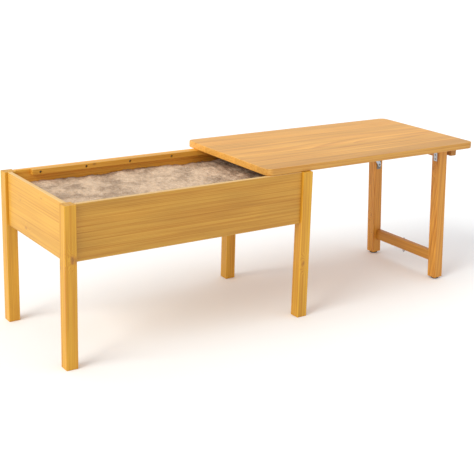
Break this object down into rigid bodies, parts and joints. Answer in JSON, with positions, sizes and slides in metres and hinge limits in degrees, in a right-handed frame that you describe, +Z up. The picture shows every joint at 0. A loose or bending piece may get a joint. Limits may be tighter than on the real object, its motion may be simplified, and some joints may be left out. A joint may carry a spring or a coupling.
{
  "type": "sand and water table",
  "caption": "Wooden sand and water table: open sand box on straight legs, with a lift-off lid drawn out as a tabletop on a folding leg frame.",
  "frame": {"origin": "on the floor, under the middle of the bounding box of the table with its lid drawn out", "axes": "+X along the box towards the drawn-out lid, +Y to the back, +Z up"},
  "size_m": [1.719, 0.537, 0.5535],
  "materials": {
    "leg_wood": "honey-stained softwood, satin varnish",
    "panel_wood": "honey-stained softwood boards, satin varnish",
    "top_wood": "edge-glued softwood panel, satin varnish",
    "inner_wood": "sawn softwood, thin stain",
    "dowel_wood": "plain hardwood dowel",
    "zinc_steel": "bright zinc-plated steel",
    "fastener_steel": "zinc-plated steel fasteners",
    "glide_plastic": "dark brown nylon",
    "sand": "dry pale play sand",
    "ground_cloth": "dark non-woven ground cloth"
  },
  "bodies": {
    "box": {"box_leg_back_left": "leg_wood", "box_leg_back_right": "leg_wood", "box_leg_front_left": "leg_wood", "box_leg_front_right": "leg_wood", "floor_board_1": "inner_wood", "floor_board_2": "inner_wood", "floor_board_3": "inner_wood", "floor_board_4": "inner_wood", "floor_board_5": "inner_wood", "floor_board_6": "inner_wood", "floor_board_7": "inner_wood", "floor_board_8": "inner_wood", "floor_cloth": "ground_cloth", "floor_screws": "fastener_steel", "ledger_back": "inner_wood", "ledger_front": "inner_wood", "ledger_left": "inner_wood", "ledger_right": "inner_wood", "ledger_screws_back": "fastener_steel", "ledger_screws_front": "fastener_steel", "ledger_screws_left": "fastener_steel", "ledger_screws_right": "fastener_steel", "panel_back": "panel_wood", "panel_dowels": "dowel_wood", "panel_front": "panel_wood", "panel_left": "panel_wood", "panel_right": "panel_wood", "rail_back": "panel_wood", "rail_screws": "fastener_steel", "sand": "sand"},
    "lid": {"batten_screws": "fastener_steel", "hinge_lid_leaf_back": "zinc_steel", "hinge_lid_leaf_front": "zinc_steel", "hinge_pin_back": "fastener_steel", "hinge_pin_front": "fastener_steel", "lid_batten_left": "leg_wood", "lid_batten_right": "leg_wood", "lid_hardware_screws": "fastener_steel", "lid_panel": "top_wood", "stay_lid_foot": "zinc_steel", "stay_lid_rivet": "fastener_steel"},
    "leg_frame": {"frame_dowels": "dowel_wood", "glide_back": "glide_plastic", "glide_front": "glide_plastic", "hinge_leg_leaf_back": "zinc_steel", "hinge_leg_leaf_front": "zinc_steel", "leg_leaf_screws": "fastener_steel", "stay_leg_plate": "zinc_steel", "stay_leg_rivet": "fastener_steel", "stay_plate_screws": "fastener_steel", "stretcher": "leg_wood", "table_leg_back": "leg_wood", "table_leg_front": "leg_wood", "top_rail": "leg_wood", "turn_button_screw": "fastener_steel"},
    "stay_lower": {"stay_lower_link": "zinc_steel"},
    "stay_upper": {"stay_elbow_rivet": "fastener_steel", "stay_upper_link": "zinc_steel"},
    "button": {"turn_button": "zinc_steel"}
  },
  "joints": [
    {"name": "lid_slide", "type": "slide", "parent": "box", "child": "lid", "axis": [1, 0, 0], "range_m": [-0.1, 0.07]},
    {"name": "leg_fold", "type": "hinge", "parent": "lid", "child": "leg_frame", "pos_m": [0.7165, 0, 0.5265], "axis": [0, 1, 0], "range_deg": [0, 93]},
    {"name": "stay_lower_turn", "type": "hinge", "parent": "leg_frame", "child": "stay_lower", "pos_m": [0.74724, 0.146, 0.38892], "axis": [0, 1, 0], "range_deg": [-156.6, 0]},
    {"name": "stay_upper_turn", "type": "hinge", "parent": "lid", "child": "stay_upper", "pos_m": [0.6545, 0.142, 0.516], "axis": [0, 1, 0], "range_deg": [0, 116.7]},
    {"name": "button_turn", "type": "hinge", "parent": "leg_frame", "child": "button", "pos_m": [0.78066, 0.0065, 0.07607], "axis": [0.9986, 0, 0.0523], "range_deg": [0, 90]}
  ],
  "couplings": [
    {"joint": "stay_lower_turn", "follows": "leg_fold", "ratio": -1.6824},
    {"joint": "stay_upper_turn", "follows": "leg_fold", "ratio": 1.2531}
  ]
}
